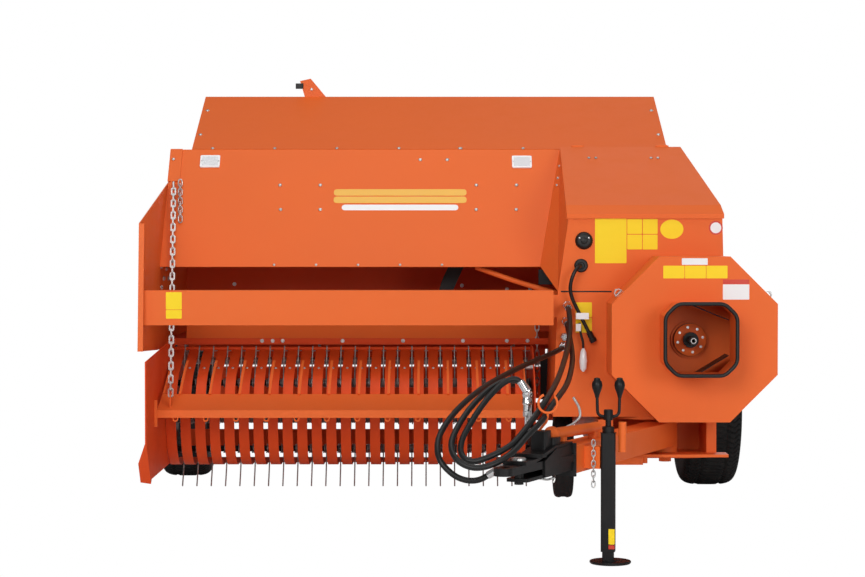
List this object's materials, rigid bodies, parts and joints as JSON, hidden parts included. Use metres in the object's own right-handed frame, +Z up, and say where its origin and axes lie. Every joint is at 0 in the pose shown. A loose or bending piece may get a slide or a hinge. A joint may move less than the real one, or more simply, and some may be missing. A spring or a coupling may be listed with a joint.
{
  "type": "square baler",
  "caption": "Towed square baler with an offset tined pickup, packer, plunger, bale chamber, knotters and needles, parked on two wheels and its drawbar jack.",
  "frame": {"origin": "on the floor under the middle of the whole machine, cords left out", "axes": "+X to the machine's left, +Y to its rear, +Z up"},
  "size_m": [2.785, 5, 1.926],
  "materials": {
    "orange_paint": "gloss",
    "black_paint": "semi-gloss",
    "tyre_rubber": "matt",
    "black_rubber": "matt",
    "bright_steel": "galvanised",
    "chrome_unions": "polished",
    "grey_iron": "painted",
    "grey_plastic": "matt"
  },
  "bodies": {
    "chassis": {"main_frame": "orange_paint", "axle": "orange_paint", "bale_chamber": "orange_paint", "tension_rails": "orange_paint", "feeder_housing": "orange_paint", "end_plate": "orange_paint", "front_panel": "orange_paint", "top_hood": "orange_paint", "hood_stay": "orange_paint", "cross_beam": "orange_paint", "gearbox_hood": "orange_paint", "gearbox": "grey_iron", "flywheel_guard": "orange_paint", "guard_rim": "black_rubber", "hose_unions": "chrome_unions", "hood_caps": "black_rubber", "pickup_shaft": "bright_steel", "packer_mount": "orange_paint", "knotters": "bright_steel", "knotter_cover": "orange_paint", "twine_box": "orange_paint"},
    "flywheel": {"flywheel": "orange_paint", "input_shaft": "black_paint"},
    "wheel_left": {"tyre_left": "tyre_rubber", "rim_left": "black_paint"},
    "wheel_right": {"tyre_right": "tyre_rubber", "rim_right": "black_paint"},
    "gearbox_lid": {"gearbox_lid": "orange_paint"},
    "drawbar": {"drawbar": "orange_paint", "hitch": "black_paint", "hose_ring": "orange_paint", "jack_tube": "black_paint"},
    "jack_leg": {"jack_leg": "black_paint"},
    "pickup": {"pickup_frame": "orange_paint", "stripper_bands": "orange_paint", "windguard_pins": "bright_steel"},
    "pickup_reel": {"pickup_reel": "bright_steel"},
    "gauge_wheel": {"gauge_tyre": "tyre_rubber", "gauge_rim": "grey_plastic"},
    "windguard": {"windguard": "orange_paint", "windguard_chain": "bright_steel"},
    "plunger": {"plunger": "bright_steel"},
    "packer_fork": {"packer_fork": "black_paint"},
    "needle_yoke": {"needle_yoke": "bright_steel"},
    "bale_chute": {"bale_chute": "orange_paint"},
    "twine_lid": {"twine_lid": "orange_paint"}
  },
  "joints": [
    {"name": "flywheel_spin", "type": "hinge", "parent": "chassis", "child": "flywheel", "pos_m": [0.98, -1.06, 0.775], "axis": [0, 1, 0], "continuous": true},
    {"name": "wheel_left_spin", "type": "hinge", "parent": "chassis", "child": "wheel_left", "pos_m": [1.2605, 0.59, 0.38], "axis": [1, 0, 0], "continuous": true},
    {"name": "wheel_right_spin", "type": "hinge", "parent": "chassis", "child": "wheel_right", "pos_m": [-1.2725, 0.97, 0.35], "axis": [1, 0, 0], "continuous": true},
    {"name": "lid_open", "type": "hinge", "parent": "chassis", "child": "gearbox_lid", "pos_m": [0.77, -0.31, 1.584], "axis": [-1, 0, 0], "range_deg": [0, 70]},
    {"name": "drawbar_swing", "type": "hinge", "parent": "chassis", "child": "drawbar", "pos_m": [0.9, -0.92, 0.37], "axis": [0, 0, 1], "range_deg": [0, 24.8]},
    {"name": "jack_slide", "type": "slide", "parent": "drawbar", "child": "jack_leg", "axis": [0, 0, -1], "range_m": [-0.03, 0.25]},
    {"name": "pickup_lift", "type": "hinge", "parent": "chassis", "child": "pickup", "pos_m": [-0.4, -0.215, 0.64], "axis": [1, 0, 0], "range_deg": [0, 10], "deforming": ["windguard_chain"]},
    {"name": "reel_spin", "type": "hinge", "parent": "pickup", "child": "pickup_reel", "pos_m": [-0.4, -0.6, 0.428], "axis": [1, 0, 0], "continuous": true},
    {"name": "gauge_wheel_spin", "type": "hinge", "parent": "pickup", "child": "gauge_wheel", "pos_m": [0.5, -0.6, 0.26], "axis": [1, 0, 0], "continuous": true},
    {"name": "windguard_lift", "type": "hinge", "parent": "pickup", "child": "windguard", "pos_m": [-0.4, -0.7, 0.64], "axis": [-1, 0, 0], "range_deg": [0, 25], "deforming": ["windguard_chain"]},
    {"name": "plunger_stroke", "type": "slide", "parent": "chassis", "child": "plunger", "axis": [0, 1, 0], "range_m": [0, 0.54]},
    {"name": "packer_swing", "type": "hinge", "parent": "chassis", "child": "packer_fork", "pos_m": [0.25, -0.06, 1.34], "axis": [0, -1, 0], "range_deg": [-30, 45]},
    {"name": "needle_swing", "type": "hinge", "parent": "chassis", "child": "needle_yoke", "pos_m": [0.8, 0.7, 0.84], "axis": [-1, 0, 0], "range_deg": [0, 75]},
    {"name": "chute_fold", "type": "hinge", "parent": "chassis", "child": "bale_chute", "pos_m": [0.8, 1.99, 0.66], "axis": [1, 0, 0], "range_deg": [0, 75]},
    {"name": "twine_lid_open", "type": "hinge", "parent": "chassis", "child": "twine_lid", "pos_m": [0.541, 1.38, 1.238], "axis": [0, 1, 0], "range_deg": [0, 95]}
  ]
}
